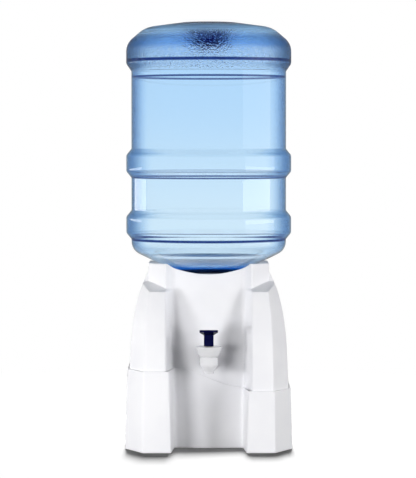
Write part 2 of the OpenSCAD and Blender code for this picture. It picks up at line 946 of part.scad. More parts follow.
// Lever: a hood over the post and the stem's head, an upright, and the thumb plate in front
module tap_lever() {
    right = fan_half();
    fan = concat(right, [for (p = reversed(right)) [-p.x, p.y, p.z]]);
    finger_in = stem_neck_r + finger_gap;
    finger_out = stem_head_r + finger_root;
    eye_room = eye_r + 2 * slip;
    color(navy)
        difference() {
            union() {
                difference() {
                    union() {
                        lever_slab(lever_w)
                            polygon(rounded(hood_outline(), edge_steps));
                        translate([0, -pivot_y, pivot_z + thumb_rise])
                            rotate([-thumb_tilt, 0, 0])
                                translate([0, 0, -thumb_t])
                                    linear_extrude(thumb_t)
                                        polygon(rounded(fan, edge_steps));
                    }
                    lever_slab(post_w + 2 * slip) {
                        circle(eye_room);
                        translate([-eye_room, -2 * hood_r])
                            square([eye_room + post_t / 2 + 2 * slip, 2 * hood_r]);
                    }
                    lever_slab(2 * stem_head_r + 4 * slip)
                        translate([lever_arm - stem_head_r - head_slot, -2 * hood_r])
                            square([2 * lever_arm, 2 * hood_r + head_top]);
                }
                for (x = [-1, 1])
                    translate([x * (finger_in + finger_out) / 2, 0, 0])
                        lever_slab(finger_out - finger_in)
                            translate([lever_arm, 0])
                                circle(finger_r);
            }
            lever_slab(2 * lever_w)
                circle(d = pin_d + 2 * pin_slip);
        }
}

module valve_stem() {
    groove_r = ring_mid_r - ring_r - pin_slip;
    groove_mid = piston_z + piston_t / 2;
    groove_half = ring_r + 2 * pin_slip;
    color(inner_white)
        at_tap()
            rotate_extrude()
                polygon([
                    [0, rod_low], [rod_r, rod_low], [rod_r, piston_z], [piston_r, piston_z],
                    [piston_r, groove_mid - groove_half], [groove_r, groove_mid - groove_half],
                    [groove_r, groove_mid + groove_half], [piston_r, groove_mid + groove_half],
                    [piston_r, piston_top], [stem_r, piston_top], [stem_r, stem_neck_z],
                    [stem_neck_r, stem_neck_z], [stem_neck_r, stem_head_z], [stem_head_r, stem_head_z],
                    [stem_head_r, stem_head_z + stem_head_t], [0, stem_head_z + stem_head_t]
                ]);
}

module stem_oring() {
    color(rubber)
        at_tap()
            translate([0, 0, piston_z + piston_t / 2])
                rotate_extrude()
                    translate([ring_mid_r, 0])
                        circle(ring_r);
}

// Soft cone that closes the valve seat, pushed onto the stem's lower end
module valve_plug() {
    low = valve_seat_z + slip;
    cone_r = outlet_r + slip - plug_gap;
    plug_r = cone_r + plug_cone;
    socket_r = rod_r + pin_slip;
    color(silicone)
        at_tap()
            rotate_extrude()
                polygon([
                    [0, low], [cone_r, low], [plug_r, low + plug_cone], [plug_r, low + plug_h],
                    [socket_r, low + plug_h], [socket_r, rod_low], [0, rod_low]
                ]);
}

// Outer profile of the bottle from its mouth to the middle of its base
function rib_points(z) = [
    [body_r, z - rib_h / 2, rib_root_fillet], [rib_r, z - rib_h / 2 + rib_ramp, rib_crest_fillet],
    [rib_r, z + rib_h / 2 - rib_ramp, rib_crest_fillet], [body_r, z + rib_h / 2, rib_root_fillet]
];

bottle_body = rounded(concat(
    [[neck_r, neck_len - neck_root, 0], [neck_r, neck_len, neck_fillet]],
    [[body_r, shoulder_edge, shoulder_fillet]],
    rib_points(shoulder_edge + rib_up),
    rib_points(shoulder_edge + rib_up + rib_pitch),
    [[body_r, bottle_h - band_drop, rib_root_fillet]],
    [[rib_r, bottle_h - band_drop + band_ramp, rib_crest_fillet], [rib_r, bottle_h - heel_drop, heel_fillet]],
    [[rib_r - crown_in, bottle_h - crown_drop, crown_fillet], [base_r, bottle_h, 0]]
), profile_steps);

bottle_base = [for (k = [0 : hollow_steps])
    let (t = 1 - k / hollow_steps)
    [hollow_r * t, bottle_h - base_hollow * (1 + cos(180 * t)) / 2]];

module bottle() {
    body = concat(bottle_body, bottle_base);
    inside = moved_path(body, bottle_wall);
    axis_end = [0, inside[len(inside) - 1].y];
    inner = concat([[neck_r - bottle_wall, 0]], [for (i = [0 : len(inside) - 2]) inside[i]], [axis_end]);
    ring_r = neck_r + neck_ring;
    finish = [
        [neck_r, 0], [neck_r, neck_ring_z], [ring_r, neck_ring_z],
        [ring_r, neck_ring_z + neck_ring], [neck_r, neck_ring_z + neck_ring]
    ];
    color(aqua)
        translate([0, 0, bottle_z])
            rotate_extrude()
                polygon(concat(finish, body, reversed(inner)));
}

upper_housing();
lower_housing();
base_plate();
foot_front_left();
foot_front_right();
foot_rear_left();
foot_rear_right();
housing_screws();
base_screws();
bottle_seat();
seat_pad();
reservoir();
reservoir_gasket();
reservoir_screws();
tap_body();
tap_bonnet();
lever_pin();
shank_nut();
shank_washer_front();
shank_washer_rear();
return_spring();
tap_lever();
valve_stem();
valve_plug();
stem_oring();
bottle();
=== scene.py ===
# %% [markdown]
# # Countertop water dispenser
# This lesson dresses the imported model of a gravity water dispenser: a white two-piece stand,
# a small lever tap in its front niche, and a clear blue bottle standing on its head.
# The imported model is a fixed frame. Every new surface is worked out in that frame, in metres,
# so nothing has to be fitted afterwards.

# %% Load the frame
import json
import math

import bmesh
import bpy
import numpy as np
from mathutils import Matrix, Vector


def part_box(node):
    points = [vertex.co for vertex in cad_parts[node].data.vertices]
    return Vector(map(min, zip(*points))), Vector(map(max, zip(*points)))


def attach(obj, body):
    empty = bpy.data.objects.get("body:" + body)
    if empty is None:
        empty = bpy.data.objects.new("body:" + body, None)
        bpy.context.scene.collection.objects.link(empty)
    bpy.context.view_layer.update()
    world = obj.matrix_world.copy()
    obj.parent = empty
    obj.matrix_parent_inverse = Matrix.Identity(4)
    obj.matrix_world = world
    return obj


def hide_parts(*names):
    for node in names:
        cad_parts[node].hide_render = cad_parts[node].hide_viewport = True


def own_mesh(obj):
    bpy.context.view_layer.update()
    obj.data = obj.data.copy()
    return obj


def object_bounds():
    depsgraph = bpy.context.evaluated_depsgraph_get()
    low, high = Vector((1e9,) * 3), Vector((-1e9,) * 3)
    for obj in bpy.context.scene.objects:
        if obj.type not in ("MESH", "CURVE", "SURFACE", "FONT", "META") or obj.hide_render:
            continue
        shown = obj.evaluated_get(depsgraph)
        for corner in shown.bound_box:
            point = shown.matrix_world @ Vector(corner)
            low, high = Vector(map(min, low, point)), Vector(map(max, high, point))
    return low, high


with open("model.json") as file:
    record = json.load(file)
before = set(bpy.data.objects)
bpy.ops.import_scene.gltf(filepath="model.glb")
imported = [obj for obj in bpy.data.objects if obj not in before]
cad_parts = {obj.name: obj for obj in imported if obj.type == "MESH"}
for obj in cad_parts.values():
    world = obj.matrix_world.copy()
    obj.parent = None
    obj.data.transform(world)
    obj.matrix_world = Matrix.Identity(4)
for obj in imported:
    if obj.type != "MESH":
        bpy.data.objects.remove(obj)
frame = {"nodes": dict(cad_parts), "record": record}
cad_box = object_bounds()
MM = 0.001
print("CAD box in mm:", [[round(c / MM, 1) for c in corner] for corner in cad_box])

# %% [markdown]
# ## Meshes from grids
# A moulded part is one skin, so each one is made here as a grid of points: rows run up the
# part and columns run round it. Numpy works out all the points at once, and neighbouring
# points become four-sided faces. Box modelling would also do, but a formula keeps the curves
# exact and can be read again.

# %% Grid helpers
SAME_POINT, NO_AREA = 0.02 * MM, 0.01 * MM


def grid_faces(rows, cols):
    """Corner numbers of the faces of a grid whose last column joins its first."""
    left = np.arange(rows * cols).reshape(rows, cols)
    right = np.roll(left, -1, axis=1)
    corners = [left[:-1], right[:-1], right[1:], left[1:]]
    return np.stack([c.ravel() for c in corners], axis=1)


def skin(name, grids):
    """One smooth mesh from several grids of points in millimetres: like points are merged,
    faces without area go, and the normals are made to point outwards."""
    points, faces, first = [], [], 0
    for grid in grids:
        rows, cols = grid.shape[:2]
        points.append(grid.reshape(-1, 3) * MM)
        faces.append(grid_faces(rows, cols) + first)
        first += rows * cols
    mesh = bpy.data.meshes.new(name)
    mesh.from_pydata(np.concatenate(points), [], np.concatenate(faces).tolist())
    work = bmesh.new()
    work.from_mesh(mesh)
    bmesh.ops.remove_doubles(work, verts=work.verts, dist=SAME_POINT)
    bmesh.ops.dissolve_degenerate(work, edges=work.edges, dist=NO_AREA)
    bmesh.ops.recalc_face_normals(work, faces=work.faces)
    work.to_mesh(mesh)
    work.free()
    mesh.shade_smooth()
    piece = bpy.data.objects.new(name, mesh)
    bpy.context.scene.collection.objects.link(piece)
    print(name, "has", len(mesh.polygons), "faces")
    return piece


def dress(piece, body, slot, material, *nodes):
    """Puts a finished piece on its body with its material and hides the nodes that it stands for. The slot
    is not used.
    """
    piece.data.materials.append(material)
    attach(piece, body)
    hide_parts(*nodes)


def eased(count):
    """Even steps from 0 to 1 that crowd together at both ends."""
    return 0.5 - 0.5 * np.cos(np.pi * np.linspace(0, 1, count))


def quadratic(a, corner, b, t):
    """Rounded corner: a quadratic curve from a to b whose handle is the corner itself."""
    return (1 - t) ** 2 * a + 2 * t * (1 - t) * corner + t**2 * b


def soft_min(a, b, band):
    """The smaller of two distances, with the edge between them rounded over a band."""
    near = np.clip(1 - np.abs(a - b) / band, 0, 1)
    return np.minimum(a, b) - near * near * band / 4


def soft_max(a, b, band):
    """The larger of two distances, with the corner between them rounded over a band."""
    return -soft_min(-a, -b, band)


# %% [markdown]
# ## Shader sums
# A procedural finish is mostly arithmetic on noise. Wiring each Math node by hand hides the
# sum, so a small class wraps a socket and lets Python operators add the nodes. Colours go
# through Mix, because a Math node would turn them grey.


# %% Socket class
class Wire:
    """A node's output socket with arithmetic."""

    def __init__(self, tree, socket):
        self.tree, self.socket = tree, socket

    def node(self, kind, settings=None, sockets=None, out=0):
        """Adds any node: its settings first, then values or links for its sockets."""
        made = self.tree.nodes.new(kind)
        for key, value in (settings or {}).items():
            setattr(made, key, value)
        for key, value in (sockets or {}).items():
            if isinstance(value, Wire):
                self.tree.links.new(value.socket, made.inputs[key])
            else:
                made.inputs[key].default_value = value
        return Wire(self.tree, made.outputs[out])

    def maths(self, operation, *values):
        """A Math node on these values."""
        return self.node("ShaderNodeMath", {"operation": operation}, dict(enumerate(values)))

    def __add__(self, other):
        return self.maths("ADD", self, other)

    def __sub__(self, other):
        return self.maths("SUBTRACT", self, other)

    def __rsub__(self, other):
        return self.maths("SUBTRACT", other, self)

    def __mul__(self, other):
        return self.maths("MULTIPLY", self, other)

    __radd__, __rmul__ = __add__, __mul__

    def away(self, middle):
        """How far this number is from a middle value."""
        return self.maths("ABSOLUTE", self - middle)

    def between(self, low, high):
        """0 below low, 1 above high, and a smooth rise between them."""
        settings = {"interpolation_type": "SMOOTHSTEP"}
        return self.node("ShaderNodeMapRange", settings, {0: self, 1: low, 2: high})

    def noise(self, scale, detail):
        """Cloudy noise on these coordinates, with so many lumps to the metre."""
        return self.node("ShaderNodeTexNoise", None, {"Vector": self, "Scale": scale, "Detail": detail})

    def blend(self, low, high):
        """A colour between two, by this amount."""
        settings = {"data_type": "RGBA"}
        return self.node("ShaderNodeMix", settings, {0: self, 6: low, 7: high}, out=2)

    def layer(self, below, above):
        """A shader between two, by this amount."""
        return self.node("ShaderNodeMixShader", None, {0: self, 1: below, 2: above})


def finish(name, **constants):
    """A new material: its shader with constant sockets, and the object's own coordinates."""
    material = bpy.data.materials.new(name)
    material.use_nodes = True
    tree = material.node_tree
    shader = tree.nodes["Principled BSDF"]
    for key, value in constants.items():
        shader.inputs[key.replace("_", " ")].default_value = value
    coordinates = tree.nodes.new("ShaderNodeTexCoord")
    return material, shader, Wire(tree, coordinates.outputs["Object"])


def feed(node, **wires):
    """Links wires to a node's sockets."""
    for key, wire in wires.items():
        wire.tree.links.new(wire.socket, node.inputs[key.replace("_", " ")])


def bump(height, depth):
    """A normal that is tilted by a height between 0 and 1, as deep as depth in metres."""
    sockets = {"Height": height, "Distance": depth, "Strength": 1.0}
    return height.node("ShaderNodeBump", None, sockets)


# %% [markdown]
# ## White mouldings
# The stand is satin styrene. Under a soft light such a moulding shows three small things: a
# faint unevenness of its white, a gloss that drifts a little, and the fine orange peel of the
# mould's surface. All three are noise at their real scale, so the finish stays white from afar.

# %% White plastics
STYRENE_IOR = 1.52
CLOUDS, CLOUD_SPAN, NOISE_DETAIL = 14.0, (0.3, 0.7), 3.0
CLOUD_GLOSS, GRAIN_GLOSS = 0.1, 0.06


def moulded(name, shade, tint, gloss, peel, lumps, shine=0.5):
    """Moulded plastic: cloudy colour between shade and tint, cloudy roughness from gloss
    upwards, and orange peel as bump, peel millimetres deep with so many lumps to the metre."""
    material, shader, place = finish(name, IOR=STYRENE_IOR, Specular_IOR_Level=shine)
    cloud = place.noise(CLOUDS, NOISE_DETAIL)
    grain = place.noise(lumps, NOISE_DETAIL)
    feed(
        shader,
        Base_Color=cloud.between(*CLOUD_SPAN).blend((*shade, 1), (*tint, 1)),
        Roughness=gloss + CLOUD_GLOSS * cloud + GRAIN_GLOSS * grain,
        Normal=bump(grain, peel * MM),
    )
    return material


shell_white = moulded("shell_white", (0.80, 0.80, 0.83), (0.84, 0.84, 0.86), 0.27, 0.012, 900.0)
inner_white = moulded("inner_white", (0.70, 0.73, 0.76), (0.76, 0.78, 0.80), 0.4, 0.02, 700.0)
# The tap's white is darker than the stand's: painted shade, standing in for the shade in the niche where
# the tap sits
tap_white = moulded("tap_white", (0.68, 0.68, 0.70), (0.71, 0.71, 0.73), 0.14, 0.006, 700.0)
lever_navy = moulded("lever_navy", (0.002, 0.003, 0.032), (0.004, 0.005, 0.045), 0.05, 0.006, 500.0, 0.1)
rubber_black = moulded("black_rubber", (0.025, 0.025, 0.028), (0.04, 0.04, 0.043), 0.6, 0.05, 1500.0)
silicone = moulded("silicone", (0.62, 0.55, 0.45), (0.7, 0.63, 0.53), 0.4, 0.02, 900.0)
print("plastics:", [m.name for m in bpy.data.materials if m.use_nodes])

# %% [markdown]
# ## The upper shell's outline
# Looked at from above, the stand is an eight-sided bell with a deep niche in front. An outline
# at any height is built as half a loop, from the middle of the niche's back wall, round the
# mouth's edge and the panels, to the middle of the back; the other half is its mirror image.
# The panels are straight lines in plan, so in polar form each is a distance divided by a
# cosine, and a soft minimum of them gives the bell with rounded edges.

# %% Sizes of the stand, in millimetres
STEP = 3.5
SIDE = cad_box[1].x / MM - STEP
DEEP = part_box("lower_housing")[1].y / MM - STEP
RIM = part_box("upper_housing")[1].z / MM
BELL_TOP = 286.0
COLLAR = 98.0
TUCK = 0.5
PANEL = 104.0
CORNER = math.radians(63)
LEAN, LATE_CURL = 7.5, 6
FRONT_LEAN, FRONT_DRAW, FRONT_CURL = 8.0, 54.0, 3
PANEL_LEAN, PANEL_DRAW = 2.0, 13.0
MOUTH = 69.5
NICHE = (57.5, -56.5)
BOW = 4.0
LEDGE = 255.0
LEDGE_SLOPE = math.tan(math.radians(21))
LEDGE_END = math.radians(67.5)
COLLAR_MOUTH = COLLAR * math.sqrt(2) - MOUTH
WIDE_EDGE, SLIGHT_EDGE = 2.6, 0.8
LEAST_COS = 0.05


def drawn(z, lean, draw, power):
    """How far a face has drawn in at height z: a straight lean, and more by a power."""
    t = np.clip(z / BELL_TOP, 0, 1)
    return lean * t + draw * t**power


def front_y(z):
    """Distance of the front panels in front of the bottle's axis."""
    return DEEP - drawn(z, FRONT_LEAN, FRONT_DRAW, FRONT_CURL)


def back_y(z):
    """Distance of the back behind the axis; its top tucks in under the collar."""
    return DEEP - drawn(z, LEAN, DEEP - COLLAR + TUCK - LEAN, LATE_CURL)


def side_x(z):
    """Distance of the sides from the axis; their tops tuck in under the collar."""
    return SIDE - drawn(z, LEAN, SIDE - COLLAR + TUCK - LEAN, LATE_CURL)


def panel_x(z):
    """Half the width over the front panels."""
    return PANEL - drawn(z, PANEL_LEAN, PANEL_DRAW, LATE_CURL)


def corner_d(z, deep):
    """Distance of a corner panel's plane from the axis, where it meets a face at deep."""
    return math.sin(CORNER) * panel_x(z) + math.cos(CORNER) * deep


def flat(a, facing, distance):
    """Distance from the axis along the direction a to an upright flat that faces another way."""
    return distance / np.maximum(np.cos(a - facing), LEAST_COS)


def bell(a, z, out):
    """Distance from the axis to the bell's skin, moved outwards by out."""
    front, back = front_y(z), back_y(z)
    r = soft_min(flat(a, 0, front + out), flat(a, CORNER, corner_d(z, front) + out), WIDE_EDGE)
    r = soft_min(r, flat(a, np.pi / 2, side_x(z) + out), SLIGHT_EDGE)
    r = soft_min(r, flat(a, np.pi - CORNER, corner_d(z, back) + out), SLIGHT_EDGE)
    return soft_min(r, flat(a, np.pi, back + out), WIDE_EDGE)


def collar(a):
    """Distance from the axis to the eight-sided collar."""
    eighth = np.pi / 4
    near = a - eighth * np.round(a / eighth)
    return soft_min(COLLAR / np.cos(near), flat(np.abs(near), eighth, COLLAR), SLIGHT_EDGE)


def ledge_y(z):
    """Distance of the ledges' sloping plane in front of the axis."""
    return front_y(LEDGE) - (z - LEDGE) / LEDGE_SLOPE


LEDGE_ROOT, LEDGE_FADE = 3.0, 1500.0
CAP_SLOPE = math.tan(math.radians(3))
ROOT_EDGE, LEDGE_EDGE, CAP_EDGE = 1.0, 1.6, 2.0


def upper_radius(a, z, out):
    """The bell, cut by the sloping ledges in front and capped on top, with the collar inside."""
    ring = collar(a)
    ledge = soft_max(flat(a, 0, ledge_y(z)), ring - LEDGE_ROOT, ROOT_EDGE)
    ledge = ledge + LEDGE_FADE * np.clip(a - LEDGE_END, 0, 1)
    cap = ring + (BELL_TOP - z) / CAP_SLOPE
    r = soft_min(soft_min(bell(a, z, out), ledge, LEDGE_EDGE), cap, CAP_EDGE)
    return soft_max(r, ring, SLIGHT_EDGE)


print("half width, half depth and rim:", round(SIDE, 2), round(DEEP, 2), round(RIM, 2))

# %% [markdown]
# ## Half a loop
# The columns of the grid follow the edges of the bell as these wander with the height, so no
# edge is ever cut across by a face. Columns crowd together where the outline turns.

# %% Half loop
BOW_COLS, FILLET_COLS, SIDE_COLS, MOUTH_COLS = 16, 7, 9, 8
PANEL_COLS = (14, 14, 8, 24, 8, 10, 10, 12)
FILLET, MOUTH_ROUND = 6.0, 3.2
LEAST_REACH, LEAST_TURN = 45.0, 0.01


def column_count():
    """Columns in half a loop."""
    return BOW_COLS + FILLET_COLS + SIDE_COLS + MOUTH_COLS + sum(PANEL_COLS)


def key_angles(z, mouth, front, out):
    """Directions of the edges that the columns follow, from the mouth round to the back."""
    front_corner = corner_d(z, front_y(z)) + out
    rear_corner = corner_d(z, back_y(z)) + out
    side, back = side_x(z) + out, back_y(z) + out
    second = np.arctan2(side, (front_corner - math.sin(CORNER) * side) / math.cos(CORNER))
    reach = np.maximum(front, LEAST_REACH)
    first = np.arctan2((front_corner - math.cos(CORNER) * reach) / math.sin(CORNER), reach)
    first = np.minimum(first, second - LEAST_TURN)
    third = np.pi - np.arctan2(side, (rear_corner - math.sin(CORNER) * side) / math.cos(CORNER))
    fourth = np.pi - np.arctan2((rear_corner - math.cos(CORNER) * back) / math.sin(CORNER), back)
    eighths = [np.full_like(z, np.pi * k / 8) for k in (3, 5, 7, 8)]
    start = np.arctan2(mouth + MOUTH_ROUND, front)
    return [start, first, second, *eighths[:2], third, fourth, *eighths[2:]]


def half_loop(z, out, grow, half_mouth, front, radius):
    """Plan points of half an outline. z has a row for each row of the grid and a column for
    each column, out moves the panels outwards, grow moves the niche's walls out of the niche,
    half_mouth and front say where the niche's sides end, and radius gives the skin."""
    cut = np.cumsum([BOW_COLS, FILLET_COLS, SIDE_COLS, MOUTH_COLS, *PANEL_COLS])
    part = [slice(a, b) for a, b in zip([0, *cut[:-1]], cut)]
    out, grow, half_mouth, front = (np.broadcast_to(v, z.shape) for v in (out, grow, half_mouth, front))

    def corners(s):
        """The niche's inner corner, the mouth's edge and the way between them, for a slice."""
        edge = np.stack([half_mouth[:, s], -front[:, s]], axis=-1)
        way = edge - np.array(NICHE)
        way = way / np.linalg.norm(way, axis=-1, keepdims=True)
        inward = np.stack([way[..., 1], -way[..., 0]], axis=-1)
        start = np.array(NICHE) - grow[:, s, None] * inward
        wall = NICHE[1] + grow[:, s]
        inner = start + way * ((wall - start[..., 1]) / way[..., 1])[..., None]
        mouth = start + way * ((-front[:, s] - start[..., 1]) / way[..., 1])[..., None]
        return inner, mouth, way

    def bow_point(inner, s):
        """Point of the bowed back wall at the share s of its half width."""
        return np.stack([inner[..., 0] * s, inner[..., 1] - BOW * (1 - s * s)], axis=-1)

    def fillet_point(s, t):
        """Point of the fillet between the back wall and the niche's side."""
        inner, _, way = corners(s)
        begin = bow_point(inner, 1 - FILLET / inner[..., 0])
        return quadratic(begin, inner, inner + FILLET * way, t[:, None])

    inner, _, _ = corners(part[0])
    bow = bow_point(inner, np.linspace(0, 1, BOW_COLS + 1)[:-1] * (1 - FILLET / inner[..., 0]))
    fillet = fillet_point(part[1], np.linspace(0, 1, FILLET_COLS + 1)[:-1])
    inner, mouth, way = corners(part[2])
    t = np.linspace(0, 1, SIDE_COLS + 1)[:-1, None]
    side = (1 - t) * (inner + FILLET * way) + t * (mouth - MOUTH_ROUND * way)
    inner, mouth, way = corners(part[3])
    keys = key_angles(z[:, part[3]], mouth[..., 0], front[:, part[3]], out[:, part[3]])
    r = radius(keys[0], z[:, part[3]], out[:, part[3]])
    on_panel = np.stack([r * np.sin(keys[0]), -r * np.cos(keys[0])], axis=-1)
    t = np.linspace(0, 1, MOUTH_COLS + 1)[:-1, None]
    edge = quadratic(mouth - MOUTH_ROUND * way, mouth, on_panel, t)
    panels = []
    for k, s in enumerate(part[4:]):
        _, mouth, _ = corners(s)
        keys = key_angles(z[:, s], mouth[..., 0], front[:, s], out[:, s])
        share = eased(PANEL_COLS[k] + (k < len(PANEL_COLS) - 1))[: PANEL_COLS[k]]
        a = keys[k] + (keys[k + 1] - keys[k]) * share
        r = radius(a, z[:, s], out[:, s])
        panels.append(np.stack([r * np.sin(a), -r * np.cos(a)], axis=-1))
    return np.concatenate([bow, fillet, side, edge, *panels], axis=1)


def whole_loop(right, left):
    """A closed loop from two halves, the left one mirrored, without doubling the middle."""
    mirrored = left[:, ::-1] * np.array([-1.0, 1.0, 1.0])
    return np.concatenate([right, mirrored[:, 1:-1]], axis=1)


def raised(plan, z):
    """Plan points with their heights."""
    return np.concatenate([plan, np.broadcast_to(z, plan.shape[:2])[..., None]], axis=-1)


print("columns in half a loop:", column_count())

# %% [markdown]
# ## Upper shell
# The skin starts under the seam, climbs the bell and the niche, turns over the collar's rim and
# runs down the dish to the hole that the bottle's neck goes through. The wall of the niche
# ends sooner, where it meets the dish, so its columns are shortened in proportion.

# %% Upper shell
DISH_RISE = math.tan(math.radians(26))
DISH_R, HOLE_R = 95.0, 50.0
SKIRT, RIM_ROUND, EDGE_ROUND = 84.0, 1.6, 0.8
WALL_TOP = RIM - RIM_ROUND
DECK_LOW = 269.2
PANEL_EDGE, MOUTH_EDGE = 1.2, 0.6
COLLAR_FOOT, COLLAR_ROWS = 286.4, 6
# From one height to another, in so many rows
WALL_ROWS = ((SKIRT, 248, 36), (248, 262, 34), (262, 272, 14), (272, 283, 9), (283, COLLAR_FOOT, 18))
EDGE_ROWS, DISH_ROWS, BORE_ROWS = 5, 12, 3


def dish_z(r):
    """Height of the dish, a cone that sinks towards the hole."""
    return RIM - (DISH_R - np.minimum(r, DISH_R)) * DISH_RISE


def upper_front(z):
    """Where the niche's sides end: on the panels, then on the ledges, then on the collar."""
    on_panels = soft_min(front_y(z), ledge_y(z), PANEL_EDGE)
    return soft_max(on_panels, np.full_like(z, COLLAR_MOUTH), MOUTH_EDGE)


def upper_wall():
    """Plan points and heights of half the wall, and which columns are in the niche. The columns
    of the niche end under the dish, the others under the rim."""
    rows = [np.linspace(low, high, count, endpoint=False) for low, high, count in WALL_ROWS]
    rows = np.concatenate([*rows, np.linspace(COLLAR_FOOT, WALL_TOP, COLLAR_ROWS)])[:, None]
    z = np.repeat(rows, column_count(), axis=1)
    plan = half_loop(z, 0.0, 0.0, MOUTH, upper_front(z), upper_radius)
    r_top = np.linalg.norm(plan[-1], axis=-1)
    in_niche = np.arange(column_count()) < BOW_COLS + FILLET_COLS + SIDE_COLS
    under_dish = np.minimum(dish_z(r_top - EDGE_ROUND) - EDGE_ROUND, WALL_TOP)
    top = np.where(in_niche, under_dish, WALL_TOP)
    ledge_top = LEDGE + (front_y(LEDGE) - COLLAR_MOUTH) * LEDGE_SLOPE
    share = np.clip((rows - ledge_top) / (WALL_TOP - ledge_top), 0, 1)
    z = np.where(rows > ledge_top, ledge_top + share * (top - ledge_top), rows)
    return plan, z, in_niche


def upper_half():
    """Rows of half the upper shell: up the wall, over its rounded edge as a quarter circle,
    down the dish as a cone, and down the hole."""
    plan, z, in_niche = upper_wall()
    r_top = np.linalg.norm(plan[-1], axis=-1)
    rounding = np.where(in_niche, EDGE_ROUND, RIM_ROUND)
    turn = np.linspace(0, np.pi / 2, EDGE_ROWS + 1)[1:, None]
    r_edge = r_top - rounding * (1 - np.cos(turn))
    z_edge = z[-1] + rounding * np.sin(turn)
    r_dish = np.minimum(r_edge[-1], DISH_R)
    r_rows = [r_dish + (HOLE_R - r_dish) * t for t in np.linspace(0, 1, DISH_ROWS)]
    z_rows = [np.minimum(dish_z(r), z_edge[-1]) for r in r_rows]
    bore = np.linspace(dish_z(HOLE_R), DECK_LOW, BORE_ROWS + 1)[1:]
    r_rows = np.array([*r_edge, *r_rows, *[np.full_like(r_dish, HOLE_R)] * BORE_ROWS])
    z_rows = np.array([*z_edge, *z_rows, *[np.full_like(r_dish, height) for height in bore]])
    outward = plan[-1] / r_top[:, None]
    return np.concatenate([raised(plan, z), raised(outward * r_rows[..., None], z_rows)])


half = upper_half()
upper_shell = skin("upper_shell", [whole_loop(half, half)])
dress(upper_shell, "stand", "shell_white", shell_white, "upper_housing")

# %% [markdown]
# ## Lower shell
# The lower shell laps over the upper one and ends in a wave: high on the left pylon, low on the
# right. Each column gets its own height from the place where it crosses the wave, and the rows
# turn over the lip at the top and under the foot, so the shell has a wall that can be seen. The
# skirt drops a little lower than the solid's, so that almost no gap shows over the table.

# %% Lower shell
SEAM_LEFT, SEAM_RIGHT = 130.0, 99.0
NICHE_STEP, LAP = 2.4, 0.4
SKIRT_DROP = 1.2
FOOT_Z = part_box("lower_housing")[0].z / MM - SKIRT_DROP
FOOT_MOUTH, LIP_ROUND, FOOT_ROUND = 62.4, 1.2, 1.6
MOUTH_LOW, MOUTH_RISE = -1.0, 134.0
TURN_UP, TURN_DOWN = 7.0, 9.0
TURN_ROWS, CLIMB_ROWS = 5, 40


def seam_z(x):
    """Height of the seam: a half cosine between the two pylons."""
    t = np.clip((x / NICHE[0] + 1) / 2, 0, 1)
    return SEAM_LEFT + (SEAM_RIGHT - SEAM_LEFT) * (1 - np.cos(np.pi * t)) / 2


def lower_mouth(z):
    """Half the width of the lower niche's mouth, which opens towards the seam."""
    return FOOT_MOUTH + (MOUTH - NICHE_STEP - FOOT_MOUTH) * (z - MOUTH_LOW) / MOUTH_RISE


def lower_half(side):
    """Rows of half the lower shell on one side (1 right, -1 left): under the foot, up, over."""

    def plan(z, share):
        """Outline at z, with the wall's thickness given as a share from inside to outside."""
        outer = half_loop(z, STEP, -NICHE_STEP, lower_mouth(z), front_y(z) + STEP, bell)
        inner = half_loop(z, LAP, -LAP, lower_mouth(z), front_y(z) + LAP, bell)
        return inner + (outer - inner) * share[..., None]

    flat_z = np.full((1, column_count()), SEAM_RIGHT)
    x = plan(flat_z, np.ones_like(flat_z))[0, :, 0]
    top = seam_z(side * x)
    turn = np.linspace(0, np.pi / 2, TURN_ROWS)
    wall = STEP - LAP
    lip = 1 - LIP_ROUND / wall * (1 - np.cos(turn))
    foot = 1 - FOOT_ROUND / wall * (1 - np.cos(turn[::-1]))
    climb = np.linspace(0, 1, CLIMB_ROWS + 2)[1:-1]
    low, high = FOOT_Z + FOOT_ROUND, top - LIP_ROUND
    z = np.concatenate([
        [np.full_like(top, FOOT_Z + TURN_UP), np.full_like(top, FOOT_Z)],
        [np.full_like(top, FOOT_Z + FOOT_ROUND * (1 - math.sin(t))) for t in turn[::-1]],
        [low + (high - low) * t for t in climb],
        [high + LIP_ROUND * math.sin(t) for t in turn],
        [top, top - TURN_DOWN],
    ])
    share = np.concatenate([[0, 0], foot, np.ones_like(climb), lip, [0, 0]])
    share = np.repeat(share[:, None], column_count(), axis=1)
    return raised(plan(z, share), z)


lower_shell = skin("lower_shell", [whole_loop(lower_half(1), lower_half(-1))])
dress(lower_shell, "stand", "shell_white", shell_white, "lower_housing")

# %% [markdown]
# ## Bottle
# The bottle is blown from clear blue plastic, so it has an outer and an inner skin with a thin
# wall between; a single surface with some transparency would stay flat, because light would not
# be bent at the four skins that it crosses. The outline is a chain of straight runs with rounded
# corners, carried round the axis. It runs up the outside, over the pushed-in base and back down
# the inside to the lip of the neck, where it started, so the skin is closed.

# %% Bottle form
BOTTLE_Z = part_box("bottle")[0].z / MM
BOTTLE_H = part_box("bottle")[1].z / MM - BOTTLE_Z
RIB_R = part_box("bottle")[1].x / MM
BODY_R, NECK_R, NECK_LEN, NECK_RUN, WALL = 126.5, 27.5, 54.0, 14.0, 1.8
BEAD_R, BEAD_LOW, BEAD_HIGH, BEAD_RAMP = NECK_R + 4.0, 25.6, 30.4, 0.6
SHOULDER = NECK_LEN + (BODY_R - NECK_R) * DISH_RISE
RIB_H, RIB_RAMP, LOW_RIB, HIGH_RIB = 47.5, 10.5, 41.5, 142.0
BAND_DROP, BAND_RAMP = 79.5, 12.5
BAND = BOTTLE_H - BAND_DROP
HEEL_DROP, CROWN_IN, CROWN_DROP, BASE_IN = 34.5, 30.5, 8.3, 90.0
BASE_R = RIB_R - BASE_IN
BASE_RING, HOLLOW, HOLLOW_POWER = 4.0, 40.0, 4
HOLLOW_R = BASE_R - BASE_RING
ROOT_TRIM, CREST_TRIM, HEEL_TRIM, SHOULDER_TRIM, NECK_TRIM = 0.9, 2.8, 13.3, 15.0, 5.0
CORNER_STEPS, HOLLOW_STEPS, SPIN = 9, 26, 176


